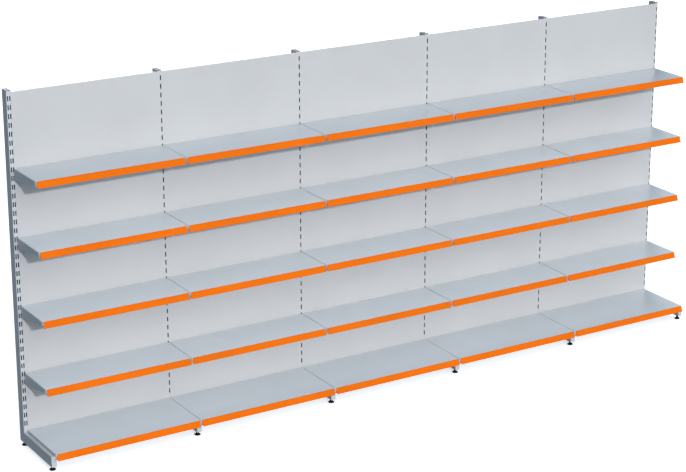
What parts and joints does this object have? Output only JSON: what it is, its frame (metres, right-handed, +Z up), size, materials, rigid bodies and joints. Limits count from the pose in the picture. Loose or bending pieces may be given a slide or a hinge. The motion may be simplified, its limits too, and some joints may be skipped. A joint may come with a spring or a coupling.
{
  "type": "gondola shelving unit",
  "caption": "Single-sided gondola shelving run with slotted uprights, flat back panels, tray shelves on brackets, deeper base shelves and sloping price rails.",
  "frame": {"origin": "centre of the footprint, on the floor", "axes": "+X along the shelves, +Z up, -Y towards the shopper, so the price rails face -Y and the uprights stand at the +Y side"},
  "size_m": [4.536, 0.4754, 2.09],
  "materials": {
    "grey_coat": "pale grey powder coat, satin, with a very fine orange-peel texture",
    "zinc_steel": "galvanised and zinc-plated steel, fine spangle",
    "orange_plastic": "extruded orange plastic, semi-gloss, with pale cut ends",
    "cap_plastic": "dark grey moulded plastic",
    "foot_plastic": "black moulded plastic"
  },
  "bodies": {
    "frame": {"uprights": "grey_coat", "upright_caps": "cap_plastic", "base_legs": "grey_coat", "crossbars": "zinc_steel", "back_panels": "grey_coat", "shelf_brackets": "grey_coat", "base_trays": "grey_coat", "base_price_rails": "orange_plastic"},
    "shelf_1_1": {"shelf_tray_1_1": "grey_coat", "price_rail_1_1": "orange_plastic"},
    "shelf_1_2": {"shelf_tray_1_2": "grey_coat", "price_rail_1_2": "orange_plastic"},
    "shelf_1_3": {"shelf_tray_1_3": "grey_coat", "price_rail_1_3": "orange_plastic"},
    "shelf_1_4": {"shelf_tray_1_4": "grey_coat", "price_rail_1_4": "orange_plastic"},
    "shelf_1_5": {"shelf_tray_1_5": "grey_coat", "price_rail_1_5": "orange_plastic"},
    "shelf_2_1": {"shelf_tray_2_1": "grey_coat", "price_rail_2_1": "orange_plastic"},
    "shelf_2_2": {"shelf_tray_2_2": "grey_coat", "price_rail_2_2": "orange_plastic"},
    "shelf_2_3": {"shelf_tray_2_3": "grey_coat", "price_rail_2_3": "orange_plastic"},
    "shelf_2_4": {"shelf_tray_2_4": "grey_coat", "price_rail_2_4": "orange_plastic"},
    "shelf_2_5": {"shelf_tray_2_5": "grey_coat", "price_rail_2_5": "orange_plastic"},
    "shelf_3_1": {"shelf_tray_3_1": "grey_coat", "price_rail_3_1": "orange_plastic"},
    "shelf_3_2": {"shelf_tray_3_2": "grey_coat", "price_rail_3_2": "orange_plastic"},
    "shelf_3_3": {"shelf_tray_3_3": "grey_coat", "price_rail_3_3": "orange_plastic"},
    "shelf_3_4": {"shelf_tray_3_4": "grey_coat", "price_rail_3_4": "orange_plastic"},
    "shelf_3_5": {"shelf_tray_3_5": "grey_coat", "price_rail_3_5": "orange_plastic"},
    "shelf_4_1": {"shelf_tray_4_1": "grey_coat", "price_rail_4_1": "orange_plastic"},
    "shelf_4_2": {"shelf_tray_4_2": "grey_coat", "price_rail_4_2": "orange_plastic"},
    "shelf_4_3": {"shelf_tray_4_3": "grey_coat", "price_rail_4_3": "orange_plastic"},
    "shelf_4_4": {"shelf_tray_4_4": "grey_coat", "price_rail_4_4": "orange_plastic"},
    "shelf_4_5": {"shelf_tray_4_5": "grey_coat", "price_rail_4_5": "orange_plastic"},
    "front_foot_1": {"front_foot_1": "foot_plastic"},
    "rear_foot_1": {"rear_foot_1": "foot_plastic"},
    "front_foot_2": {"front_foot_2": "foot_plastic"},
    "rear_foot_2": {"rear_foot_2": "foot_plastic"},
    "front_foot_3": {"front_foot_3": "foot_plastic"},
    "rear_foot_3": {"rear_foot_3": "foot_plastic"},
    "front_foot_4": {"front_foot_4": "foot_plastic"},
    "rear_foot_4": {"rear_foot_4": "foot_plastic"},
    "front_foot_5": {"front_foot_5": "foot_plastic"},
    "rear_foot_5": {"rear_foot_5": "foot_plastic"},
    "front_foot_6": {"front_foot_6": "foot_plastic"},
    "rear_foot_6": {"rear_foot_6": "foot_plastic"}
  },
  "joints": [
    {"name": "shelf_1_1_lift", "type": "slide", "parent": "frame", "child": "shelf_1_1", "axis": [0, 0, 1], "range_m": [0, 0.1]},
    {"name": "shelf_1_2_lift", "type": "slide", "parent": "frame", "child": "shelf_1_2", "axis": [0, 0, 1], "range_m": [0, 0.1]},
    {"name": "shelf_1_3_lift", "type": "slide", "parent": "frame", "child": "shelf_1_3", "axis": [0, 0, 1], "range_m": [0, 0.1]},
    {"name": "shelf_1_4_lift", "type": "slide", "parent": "frame", "child": "shelf_1_4", "axis": [0, 0, 1], "range_m": [0, 0.1]},
    {"name": "shelf_1_5_lift", "type": "slide", "parent": "frame", "child": "shelf_1_5", "axis": [0, 0, 1], "range_m": [0, 0.1]},
    {"name": "shelf_2_1_lift", "type": "slide", "parent": "frame", "child": "shelf_2_1", "axis": [0, 0, 1], "range_m": [0, 0.1]},
    {"name": "shelf_2_2_lift", "type": "slide", "parent": "frame", "child": "shelf_2_2", "axis": [0, 0, 1], "range_m": [0, 0.1]},
    {"name": "shelf_2_3_lift", "type": "slide", "parent": "frame", "child": "shelf_2_3", "axis": [0, 0, 1], "range_m": [0, 0.1]},
    {"name": "shelf_2_4_lift", "type": "slide", "parent": "frame", "child": "shelf_2_4", "axis": [0, 0, 1], "range_m": [0, 0.1]},
    {"name": "shelf_2_5_lift", "type": "slide", "parent": "frame", "child": "shelf_2_5", "axis": [0, 0, 1], "range_m": [0, 0.1]},
    {"name": "shelf_3_1_lift", "type": "slide", "parent": "frame", "child": "shelf_3_1", "axis": [0, 0, 1], "range_m": [0, 0.1]},
    {"name": "shelf_3_2_lift", "type": "slide", "parent": "frame", "child": "shelf_3_2", "axis": [0, 0, 1], "range_m": [0, 0.1]},
    {"name": "shelf_3_3_lift", "type": "slide", "parent": "frame", "child": "shelf_3_3", "axis": [0, 0, 1], "range_m": [0, 0.1]},
    {"name": "shelf_3_4_lift", "type": "slide", "parent": "frame", "child": "shelf_3_4", "axis": [0, 0, 1], "range_m": [0, 0.1]},
    {"name": "shelf_3_5_lift", "type": "slide", "parent": "frame", "child": "shelf_3_5", "axis": [0, 0, 1], "range_m": [0, 0.1]},
    {"name": "shelf_4_1_lift", "type": "slide", "parent": "frame", "child": "shelf_4_1", "axis": [0, 0, 1], "range_m": [0, 0.1]},
    {"name": "shelf_4_2_lift", "type": "slide", "parent": "frame", "child": "shelf_4_2", "axis": [0, 0, 1], "range_m": [0, 0.1]},
    {"name": "shelf_4_3_lift", "type": "slide", "parent": "frame", "child": "shelf_4_3", "axis": [0, 0, 1], "range_m": [0, 0.1]},
    {"name": "shelf_4_4_lift", "type": "slide", "parent": "frame", "child": "shelf_4_4", "axis": [0, 0, 1], "range_m": [0, 0.1]},
    {"name": "shelf_4_5_lift", "type": "slide", "parent": "frame", "child": "shelf_4_5", "axis": [0, 0, 1], "range_m": [0, 0.1]},
    {"name": "front_foot_1_screw", "type": "slide", "parent": "frame", "child": "front_foot_1", "axis": [0, 0, -1], "range_m": [-0.006, 0.022]},
    {"name": "rear_foot_1_screw", "type": "slide", "parent": "frame", "child": "rear_foot_1", "axis": [0, 0, -1], "range_m": [-0.006, 0.022]},
    {"name": "front_foot_2_screw", "type": "slide", "parent": "frame", "child": "front_foot_2", "axis": [0, 0, -1], "range_m": [-0.006, 0.022]},
    {"name": "rear_foot_2_screw", "type": "slide", "parent": "frame", "child": "rear_foot_2", "axis": [0, 0, -1], "range_m": [-0.006, 0.022]},
    {"name": "front_foot_3_screw", "type": "slide", "parent": "frame", "child": "front_foot_3", "axis": [0, 0, -1], "range_m": [-0.006, 0.022]},
    {"name": "rear_foot_3_screw", "type": "slide", "parent": "frame", "child": "rear_foot_3", "axis": [0, 0, -1], "range_m": [-0.006, 0.022]},
    {"name": "front_foot_4_screw", "type": "slide", "parent": "frame", "child": "front_foot_4", "axis": [0, 0, -1], "range_m": [-0.006, 0.022]},
    {"name": "rear_foot_4_screw", "type": "slide", "parent": "frame", "child": "rear_foot_4", "axis": [0, 0, -1], "range_m": [-0.006, 0.022]},
    {"name": "front_foot_5_screw", "type": "slide", "parent": "frame", "child": "front_foot_5", "axis": [0, 0, -1], "range_m": [-0.006, 0.022]},
    {"name": "rear_foot_5_screw", "type": "slide", "parent": "frame", "child": "rear_foot_5", "axis": [0, 0, -1], "range_m": [-0.006, 0.022]},
    {"name": "front_foot_6_screw", "type": "slide", "parent": "frame", "child": "front_foot_6", "axis": [0, 0, -1], "range_m": [-0.006, 0.022]},
    {"name": "rear_foot_6_screw", "type": "slide", "parent": "frame", "child": "rear_foot_6", "axis": [0, 0, -1], "range_m": [-0.006, 0.022]}
  ]
}
